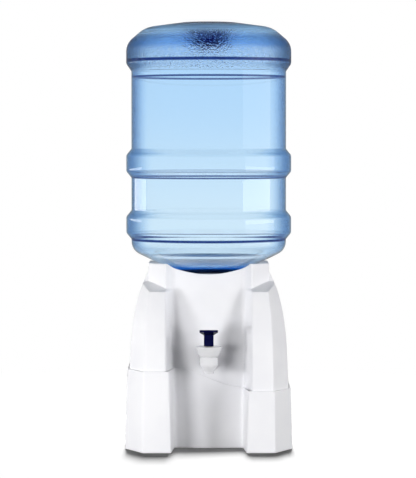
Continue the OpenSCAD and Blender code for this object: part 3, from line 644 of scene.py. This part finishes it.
def filleted(points, steps):
    """A path of [radius, height, trim] corners, each one rounded by a quadratic curve that
    starts and ends at its trim distance."""
    p = np.array(points)
    path = [p[:1, :2]]
    for before, here, after in zip(p[:-2], p[1:-1], p[2:]):
        a = here[:2] + here[2] * (before - here)[:2] / np.linalg.norm((before - here)[:2])
        b = here[:2] + here[2] * (after - here)[:2] / np.linalg.norm((after - here)[:2])
        path.append(quadratic(a, here[:2], b, np.linspace(0, 1, steps)[:, None]))
    return np.concatenate([*path, p[-1:, :2]])


def beside(path, distance):
    """A path moved to its left by a distance, along its own normals."""
    way = np.gradient(path, axis=0)
    way = way / np.linalg.norm(way, axis=1, keepdims=True)
    return path + distance * np.stack([-way[:, 1], way[:, 0]], axis=1)


def turned(profile, count, middle=(0.0, 0.0)):
    """A profile of radius and height carried round an upright axis."""
    a = np.linspace(0, 2 * np.pi, count, endpoint=False)
    r, z = profile[:, :1], np.repeat(profile[:, 1:], count, axis=1)
    return np.stack([middle[0] + r * np.cos(a), middle[1] + r * np.sin(a), z], axis=-1)


def rib(z):
    """The four corners of a rib round the bottle, whose middle is at z."""
    half_h = RIB_H / 2
    return [(BODY_R, z - half_h, ROOT_TRIM), (RIB_R, z - half_h + RIB_RAMP, CREST_TRIM),
            (RIB_R, z + half_h - RIB_RAMP, CREST_TRIM), (BODY_R, z + half_h, ROOT_TRIM)]


def bottle_profile():
    """Outer profile from the neck to the middle of the base, then the inner one back down. The
    base's hollow is a power of the distance from the axis."""
    wall = filleted([
        (NECK_R, NECK_LEN - NECK_RUN, 0), (NECK_R, NECK_LEN, NECK_TRIM), (BODY_R, SHOULDER, SHOULDER_TRIM),
        *rib(SHOULDER + LOW_RIB), *rib(SHOULDER + HIGH_RIB),
        (BODY_R, BAND, ROOT_TRIM), (RIB_R, BAND + BAND_RAMP, CREST_TRIM),
        (RIB_R, BOTTLE_H - HEEL_DROP, HEEL_TRIM), (RIB_R - CROWN_IN, BOTTLE_H - CROWN_DROP, HEEL_TRIM),
        (BASE_R, BOTTLE_H, 0),
    ], CORNER_STEPS)
    t = np.linspace(1, 0, HOLLOW_STEPS)
    base = np.stack([HOLLOW_R * t, BOTTLE_H - HOLLOW * (1 - t**HOLLOW_POWER)], axis=1)
    outer = np.concatenate([wall, base])
    inner = beside(outer, WALL)
    inner[-1, 0] = 0
    bead = [(NECK_R, BEAD_LOW), (BEAD_R, BEAD_LOW + BEAD_RAMP),
            (BEAD_R, BEAD_HIGH - BEAD_RAMP), (NECK_R, BEAD_HIGH)]
    lip = (NECK_R - WALL, 0)
    path = np.concatenate([[lip, (NECK_R, 0)], bead, outer, inner[::-1], [lip]])
    return path + [0, BOTTLE_Z]


bottle_skin = skin("bottle_skin", [turned(bottle_profile(), SPIN)])

# %% [markdown]
# ## Blue plastic
# The bottle looks navy in thin lines at the corners under the heel and the ribs, in the base's
# hollow and where it sits down in the collar. These are painted: the lines are painted dark
# refractions, the hollow and the lowest part in the collar get painted shade, and the part in the
# collar a deeper blue painted for the lit dish seen through the plastic. The wall is even here,
# and the colour follows the height and the distance from the axis, the same all round the bottle.

# %% Where the tints lie, in millimetres
# Height, half width and strength of each painted dark line, which stands in for a dark refraction at a
# corner
DARK_REFRACTION_LINES = (
    (629.0, 3.4, 1.0), (602.5, 2.4, 0.9), (448.4, 1.0, 0.5), (438.6, 1.8, 0.9), (337.4, 3.2, 1.0),
)
LINE_CORE = 0.4
# Spans of height or radius within which a tint comes in or goes out
BODY_FADE = (340, 600)
HEEL_RISE = (BOTTLE_Z + BAND, BOTTLE_Z + BAND + BAND_RAMP)
WAIST_IN, WAIST_OUT = (644, 655), (662, 674)
HOLLOW_SIDE, HOLLOW_IN, HOLLOW_PALER = (40, 72), (635, 645), (675, 690)
NECK_END, SOLE_END, FOOT_END = (264, 276), (279, 286), (291, 302)
CROWN_RISE, CROWN_SIDE = (668, 682), (55, 85)
RIM_IN, RIM_OUT, CREST_SIDE = (300, 335), (650, 672), (128, 133)
# The share of its painted shade that the hollow loses near its rim
PALER = 0.4
# How slanted a wall has to be to look dark, and what the crests of the ribs add to that
SLANT, EDGE_ON, CREST_SHARE = 0.5, (0.38, 0.85), 0.12


def rising(wire, span):
    """0 below a span of millimetres, 1 above it, and a smooth rise within it."""
    return wire.between(span[0] * MM, span[1] * MM)


def bottle_places(place):
    """How far a point belongs to each named place of the bottle, from 0 to 1, by its height z
    and its distance r from the axis."""
    x, y, z = (place.node("ShaderNodeSeparateXYZ", None, {0: place}, out=axis) for axis in "XYZ")
    r = x.maths("SQRT", x * x + y * y)
    # Painted dark lines at the corners under the heel and the ribs: they stand in for the dark refractions
    # there
    lines = 0.0
    for height, half, strength in DARK_REFRACTION_LINES:
        lines = strength * (1 - rising(z.away(height * MM), (LINE_CORE * half, half))) + lines
    # Painted shade in the base's hollow
    inside = (1 - rising(r, HOLLOW_SIDE)) * rising(z, HOLLOW_IN)
    # Where the bottle sits down in the collar, the foot gets a deeper blue painted for the lit dish seen
    # through the plastic, and the sole, its lowest part, gets painted shade
    over_neck = rising(z, NECK_END)
    slant = place.node("ShaderNodeLayerWeight", None, {"Blend": SLANT}, out="Facing")
    slant = (slant + CREST_SHARE * rising(r, CREST_SIDE)).between(*EDGE_ON)
    return {
        "lines": lines,
        "body": rising(z, BODY_FADE),
        "heel": rising(z, HEEL_RISE),
        "waist": rising(z, WAIST_IN) * (1 - rising(z, WAIST_OUT)),
        "hollow": inside * (1 - PALER * rising(z, HOLLOW_PALER)),
        "foot": over_neck * (1 - rising(z, FOOT_END)),
        "sole": over_neck * (1 - rising(z, SOLE_END)),
        "crown": rising(z, CROWN_RISE) * rising(r, CROWN_SIDE),
        "rim": slant * rising(z, RIM_IN) * (1 - rising(z, RIM_OUT)),
    }


# %% Blue plastic
# Of these, the foot's deeper blue, the navy of the lines and the tints of the hollow and the sole are
# painted light and shade
PALE_BLUE, BODY_BLUE, PAINTED_DISH_BLUE = (0.80, 0.92, 1.0, 1), (0.68, 0.85, 1.0, 1), (0.13, 0.54, 1.0, 1)
HEEL_BLUE, WAIST_BLUE, SPECK_BLUE = (0.76, 0.89, 1.0, 1), (0.33, 0.55, 0.88, 1), (0.58, 0.75, 0.93, 1)
REFRACTION_NAVY, HOLLOW_SHADE_NAVY, RIM_BLUE = (0.015, 0.06, 0.26, 1), (0.015, 0.04, 0.28, 1), (0.10, 0.25, 0.52, 1)
MILKY_BLUE, SOLE_SHADE_BLUE = (0.52, 0.78, 1.0, 1), (0.07, 0.17, 0.5, 1)
PEBBLES, PEBBLE_DEPTH, SPECK = 420.0, 0.4, (0.25, 0.55)
CLEAR_IOR, DULL_IOR, CLEAR_ROUGH = 1.5, 1.08, 0.015
MILKY, MILKY_ROUGH = 0.45, 0.4


def bottle_tint(where, pebbles):
    """Colour of the plastic: paler down the body, speckled in the heel with a darker waist, and
    then the painted tints one over the other: painted shade in the hollow and low in the collar, a
    deeper blue painted for the lit dish seen through the plastic, and painted dark refraction lines."""
    heel = where["waist"].blend(pebbles.between(*SPECK).blend(HEEL_BLUE, SPECK_BLUE), WAIST_BLUE)
    colour = where["heel"].blend(where["body"].blend(PALE_BLUE, BODY_BLUE), heel)
    # All four are painted light and shade: the seen dish's blue, the hollow's and the sole's shade, and
    # the dark refraction lines
    deep = {"foot": PAINTED_DISH_BLUE, "hollow": HOLLOW_SHADE_NAVY, "sole": SOLE_SHADE_BLUE, "lines": REFRACTION_NAVY}
    for spot, tint in deep.items():
        colour = where[spot].blend(colour, tint)
    return colour


def bottle_finish():
    """Clear blue plastic in four layers: clear glass with a pebbled heel, darker glass where the
    sides are seen at a slant, glass with little gloss in the hollow and at the foot, and a share
    of milky plastic in the crown."""
    glass = {"Transmission Weight": 1.0, "Roughness": CLEAR_ROUGH, "IOR": CLEAR_IOR}
    material, shader, place = finish("bottle_blue", **glass)
    where = bottle_places(place)
    pebbles = place.node("ShaderNodeTexVoronoi", None, {"Vector": place, "Scale": PEBBLES})
    colour = bottle_tint(where, pebbles)
    feed(shader, Base_Color=colour, Normal=bump(pebbles * where["heel"], PEBBLE_DEPTH * MM))
    plastic = "ShaderNodeBsdfPrincipled"
    rim = place.node(plastic, None, {**glass, "Base Color": RIM_BLUE})
    dull = place.node(plastic, None, {**glass, "Base Color": colour, "IOR": DULL_IOR})
    milky = place.node(plastic, None, {"Base Color": MILKY_BLUE, "Roughness": MILKY_ROUGH})
    look = where["rim"].layer(Wire(material.node_tree, shader.outputs[0]), rim)
    look = colour.maths("MAXIMUM", where["foot"], where["hollow"]).layer(look, dull)
    look = (MILKY * where["crown"]).layer(look, milky)
    feed(material.node_tree.nodes["Material Output"], Surface=look)
    return material


bottle_blue = bottle_finish()
bottle_skin.visible_shadow = False
dress(bottle_skin, "bottle", "bottle_blue", bottle_blue, "bottle")
print("nodes in the blue plastic:", len(bottle_blue.node_tree.nodes))

# %% [markdown]
# ## Tap
# The tap's body and its flared cap are turned parts. A lathe profile with small rounded corners
# is carried round the spout's axis; the barrel and the flange are turned the same way and then
# laid on the shank's axis.

# %% Tap
TAP_Y = (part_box("tap_bonnet")[0].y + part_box("tap_bonnet")[1].y) / 2 / MM
SHANK_Z = 144.0
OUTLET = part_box("tap_body")[0].z / MM
BORE_R, NOSE_R, CHAMBER_R, SPIGOT_R = 6.2, 8.2, 14.8, 13.0
NOSE_TOP, BORE_TOP, CONE_TOP, CHAMBER_TOP, SPIGOT_TOP = (OUTLET + h for h in (3.2, 9.0, 13.0, 26.5, 33.0))
BARREL_R, FLANGE_R, SHANK_R = 7.25, 15.0, 8.0
# Places along the shank, in front of the bottle's axis
BARREL_END, FLANGE_FRONT, FLANGE_BACK, SHANK_END = 88.0, 66.5, 63.0, 40.0
TAP_STEPS, SPOUT_SPIN, BARREL_STEPS, BARREL_SPIN = 7, 96, 6, 72


def laid(grid):
    """Points turned on an upright axis, laid down so that the axis points at the viewer."""
    return np.stack([grid[..., 0], -grid[..., 2], SHANK_Z + grid[..., 1]], axis=-1)


spout = filleted([
    (BORE_R, BORE_TOP, 0), (BORE_R, OUTLET, 0.5), (NOSE_R, OUTLET, 0.6), (NOSE_R, NOSE_TOP, 1.2),
    (CHAMBER_R, CONE_TOP, 2.5), (CHAMBER_R, CHAMBER_TOP, 0.8),
    (SPIGOT_R, CHAMBER_TOP, 0.5), (SPIGOT_R, SPIGOT_TOP, 0),
], TAP_STEPS)
barrel = filleted([
    (BARREL_R, BARREL_END, 0), (BARREL_R, FLANGE_FRONT, 0.8), (FLANGE_R, FLANGE_FRONT, 0.7),
    (FLANGE_R, FLANGE_BACK, 0.4), (SHANK_R, FLANGE_BACK, 0.4), (SHANK_R, SHANK_END, 0),
], BARREL_STEPS)
spout_grid = turned(spout, SPOUT_SPIN, (0, TAP_Y))
tap_skin = skin("tap_spout", [spout_grid, laid(turned(barrel, BARREL_SPIN))])
dress(tap_skin, "stand", "tap_white", tap_white, "tap_body")

# %% Tap's cap
CAP_LOW, CAP_TOP, CAP_RIM = OUTLET + 27.7, OUTLET + 43.7, 1.6
CAP_BORE_R, CAP_FOOT_R, CAP_R, CAP_TOP_R = 13.4, 15.5, 21.2, 20.4
STEM_HOLE_R, STEM_HOLE = 3.4, 3.0
CAP_SPIN = 120
cap = filleted([
    (CAP_BORE_R, SPIGOT_TOP, 0), (CAP_BORE_R, CAP_LOW, 0.3), (CAP_FOOT_R, CAP_LOW, 0.6),
    (CAP_R, CAP_TOP - CAP_RIM, 0.9), (CAP_TOP_R, CAP_TOP, 0.7),
    (STEM_HOLE_R, CAP_TOP, 0.3), (STEM_HOLE_R, CAP_TOP - STEM_HOLE, 0),
], TAP_STEPS)
cap_skin = skin("tap_cap", [turned(cap, CAP_SPIN, (0, TAP_Y))])
dress(cap_skin, "stand", "tap_white", tap_white, "tap_bonnet")

# %% [markdown]
# ## Return spring
# A coil of steel wire round the valve's stem pushes the valve shut. When the lever is pressed the
# stem rises and the coil gets shorter. Here the coil is a tube carried along a helix.

# %% Zinc-plated steel
ZINC = (0.6, 0.6, 0.62, 1)
ZINC_GRAIN, ZINC_GRAIN_DEPTH = 1800.0, 0.01
ZINC_ROUGH, ZINC_DRIFT = 0.24, 0.16


def zinc():
    """Zinc-plated steel: a fine grain, which also makes the gloss cloudy."""
    material, shader, place = finish("steel", Metallic=1.0, Base_Color=ZINC)
    grain = place.noise(ZINC_GRAIN, 1.0)
    feed(shader, Roughness=ZINC_ROUGH + ZINC_DRIFT * grain, Normal=bump(grain, ZINC_GRAIN_DEPTH * MM))
    return material


steel = zinc()
print("made the finish", steel.name)

# %% Return spring
SPRING_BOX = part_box("return_spring")
WIRE, TURNS, LIFT = 1.0, 4.5, 2.55
TURN_STEPS, WIRE_SIDES = 48, 12
COIL_R = (SPRING_BOX[1].x - SPRING_BOX[0].x) / 2 / MM - WIRE / 2


def coil():
    """A wire along a helix, z rising evenly with the angle a; the wire closes to a point at both
    ends."""
    a = np.linspace(0, 2 * np.pi * TURNS, int(TURNS * TURN_STEPS) + 1)
    a = np.concatenate([a[:1], a, a[-1:]])[:, None]
    b = np.linspace(0, 2 * np.pi, WIRE_SIDES, endpoint=False)
    thick = np.full_like(a, WIRE / 2)
    thick[[0, -1]] = 0
    r = COIL_R + thick * np.cos(b)
    low, high = SPRING_BOX[0].z / MM + WIRE / 2, SPRING_BOX[1].z / MM - WIRE / 2
    z = low + (high - low) * a / a[-1] + thick * np.sin(b)
    return np.stack([r * np.cos(a), TAP_Y + r * np.sin(a), z], axis=-1)


spring_coil = skin("spring_coil", [coil()])
dress(spring_coil, "stand", "steel", steel, "return_spring")
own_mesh(spring_coil)

# %% [markdown]
# ## Carried-over parts
# The lever, the feet, the seat, the tank, and the screws, seals and valve parts are right as the
# frame has them. They come as loose triangles, so a Weld modifier joins these and an Edge Split
# keeps only the true edges, and then each gets a finish: moulded plastic, rubber or zinc.

# %% Carried-over parts
slot_finish = {
    "shell_white": shell_white, "inner_white": inner_white, "tap_white": tap_white,
    "lever_navy": lever_navy, "black_rubber": rubber_black, "silicone": silicone, "steel": steel,
}
WELD_GAP, TRUE_EDGE = 0.005 * MM, math.radians(32)
carried = 0
for row in frame["record"]["subparts"]:
    node = frame["nodes"][row["node"]]
    if node.hide_render:
        continue
    node.data.materials.clear()
    node.data.materials.append(slot_finish[row["material_slot"]])
    node.data.shade_smooth()
    weld = node.modifiers.new("weld", "WELD")
    weld.merge_threshold = WELD_GAP
    split = node.modifiers.new("split", "EDGE_SPLIT")
    split.split_angle = TRUE_EDGE
    carried += 1
print("carried-over nodes with a finish:", carried)

# %% [markdown]
# ## Stage
# The dispenser stands on white paper that runs into a white sky. A white floor under strong
# light would do, but it would throw so much light back that the white stand lost its planes. So
# the paper is dim and throws none back, and it glows by itself where it is far away.

# %% Paper floor
WHITE, BLACK, PAPER, FLOOR_GLOW = (1, 1, 1, 1), (0, 0, 0, 1), (0.2, 0.2, 0.2, 1), (0.06, 0.06, 0.06, 1)
FLOOR_R, FLOOR_RINGS, FLOOR_SPOKES = 9000.0, 30, 96
GLOW_FROM, GLOW_FULL = 0.5, 1.3


def floor():
    """A round pale floor, its points on rings round the object. It glows where it is far away,
    so that it runs into the sky without a line."""
    r = np.linspace(0, FLOOR_R, FLOOR_RINGS)[:, None]
    a = np.linspace(0, 2 * np.pi, FLOOR_SPOKES, endpoint=False)
    ground = skin("floor", [np.stack([r * np.cos(a), r * np.sin(a), 0 * r * a], axis=-1)])
    matt = {"Roughness": 0.9, "Specular IOR Level": 0.0, "Emission Strength": 1.0}
    material, shader, place = finish("paper", **matt)
    length = {"operation": "LENGTH"}
    far = place.node("ShaderNodeVectorMath", length, {0: place}, out="Value").between(GLOW_FROM, GLOW_FULL)
    feed(shader, Base_Color=far.blend(PAPER, BLACK), Emission_Color=far.blend(FLOOR_GLOW, WHITE))
    ground.data.materials.append(material)
    return ground


dispenser_meshes = [thing for thing in bpy.context.scene.objects if thing.type == "MESH"]
ground = floor()
ground.visible_diffuse = ground.visible_glossy = False
print("meshes of the dispenser:", len(dispenser_meshes))

# %% [markdown]
# ## Light
# One large softbox would make a white stand flat. Here small soft lights stand round it, each
# for one set of planes, and light the dispenser alone. A few strips are there only to be
# mirrored. The table has its own light, far behind and high up, which is blocked by nothing but
# the lower shell and the base plate, so that a thin dark shadow lies at the foot.


# %% Sky and lamps
SKY_BLUE = (0.4, 0.68, 1.0, 1)
SKY_LIGHT = 0.04
WINDOW_TURN, WINDOW_DIM = (0.35, 0.6), 0.55
SHINE, SHINE_DROP, SHINE_TURN = 0.16, 0.12, (0.1, 0.4)


def lamp(name, azimuth, height, distance, aim, size, watts):
    """A soft light of some width and height. Its azimuth in degrees runs from the front to the
    right, and it looks at a point on the bottle's axis, aim metres high."""
    light = bpy.data.lights.new(name, "AREA")
    light.shape, light.energy = "RECTANGLE", watts
    light.size, light.size_y = size
    lamp_object = bpy.data.objects.new(name, light)
    bpy.context.scene.collection.objects.link(lamp_object)
    turn = math.radians(azimuth)
    lamp_object.location = (distance * math.sin(turn), -distance * math.cos(turn), height)
    lamp_object.rotation_euler = (math.atan2(distance, height - aim), 0, turn)
    return lamp_object


def sky():
    """White where it is seen. Through the bottle it is white near the horizon and darker above
    and below, and as a light and as a reflection it is dim."""
    world = bpy.data.worlds.new("sky")
    world.use_nodes = True
    bpy.context.scene.world = world
    tree = world.node_tree
    ways = tree.nodes.new("ShaderNodeTexCoord")
    path = tree.nodes.new("ShaderNodeLightPath")
    rays = ("Is Camera Ray", "Is Transmission Ray", "Is Glossy Ray")
    seen, through, glossy = (Wire(tree, path.outputs[ray]) for ray in rays)
    rise = seen.node("ShaderNodeSeparateXYZ", None, {0: Wire(tree, ways.outputs["Generated"])}, out="Z")
    high_low = rise.away(0.0).between(*WINDOW_TURN)
    window = 1 - WINDOW_DIM * high_low
    mirrored = glossy * (1 - through)
    shine = SHINE - SHINE_DROP * rise.between(*SHINE_TURN)
    glow = SKY_LIGHT + seen * (1 - SKY_LIGHT)
    glow = glow + through * (window - SKY_LIGHT) + mirrored * (shine - SKY_LIGHT)
    tint = (through * high_low).blend(WHITE, SKY_BLUE)
    feed(tree.nodes["Background"], Strength=glow, Color=tint)


def linked(name, pieces):
    """A group of pieces that a light can be tied to."""
    group = bpy.data.collections.new(name)
    for piece in pieces:
        group.objects.link(piece)
    return group


sky()
print("the sky is", bpy.context.scene.world.name)

# %% Lights
# Name, azimuth, height, distance and aim in metres, width and height, and watts
SOFT_LIGHTS = (
    ("key", -50, 0.17, 1.5, 0.17, (0.3, 0.35), 9.8),
    ("key_front", -30, 0.14, 1.5, 0.1, (0.35, 0.35), 10.4),
    ("fill", 43, 0.14, 1.5, 0.12, (0.3, 0.35), 7.1),
    ("fill_high", 50, 0.6, 1.4, 0.15, (0.5, 0.5), 4.6),
    ("right_edge", 75, 0.17, 1.5, 0.15, (0.35, 0.35), 6.0),
    ("left_edge", -95, 0.17, 1.5, 0.17, (0.35, 0.35), 5.9),
    ("back_left", -150, 0.5, 1.6, 0.2, (0.6, 0.6), 13),
    ("back_right", 150, 0.5, 1.6, 0.2, (0.6, 0.6), 11),
    ("overhead", 0, 2.2, 0.8, 0.2, (1.0, 1.0), 4.0),
)
SHINE_LIGHTS = (
    ("right_box", 76, 0.45, 2.2, 0.4, (2.1, 1.5), 9),
    ("right_strip", 76, 0.36, 2.2, 0.36, (2.1, 0.08), 1.0),
    ("left_strip", -124, 0.36, 2.2, 0.36, (1.5, 0.08), 1.0),
)
TABLE_LIGHT = ("table_light", 180, 24.6, 17.2, 0.0, (3.0, 16.0), 54000)
dispenser = linked("dispenser", dispenser_meshes)
for row in SOFT_LIGHTS:
    soft = lamp(*row)
    soft.visible_glossy = soft.visible_transmission = False
    soft.light_linking.receiver_collection = dispenser
for row in SHINE_LIGHTS:
    box = lamp(*row)
    box.visible_diffuse = box.visible_transmission = False
table_light = lamp(*TABLE_LIGHT)
table_light.visible_glossy = False
table_light.light_linking.receiver_collection = linked("table", [ground])
foot_pieces = [lower_shell, frame["nodes"]["base_plate"]]
table_light.light_linking.blocker_collection = linked("foot", foot_pieces)
print("lights:", [light.name for light in bpy.data.lights])

# %% [markdown]
# ## Camera
# The view is from straight in front, level with the bottle's body and tilted slightly down. A
# near camera would look far down on the foot and up at the heel, so this one stands four metres
# away with a long lens.

# %% Camera
LENS, SENSOR = 184.5, 36.0
EYE = (-0.0012, -4.018, 0.504)
TILT = 87.62
camera = bpy.data.cameras.new("camera")
camera.lens, camera.sensor_width = LENS, SENSOR
camera_object = bpy.data.objects.new("camera", camera)
camera_object.location = EYE
camera_object.rotation_euler = (math.radians(TILT), 0, 0)
bpy.context.scene.collection.objects.link(camera_object)
bpy.context.scene.camera = camera_object
bpy.context.scene.view_settings.view_transform = "Standard"
print("the camera looks down by", round(90 - TILT, 2), "degrees")
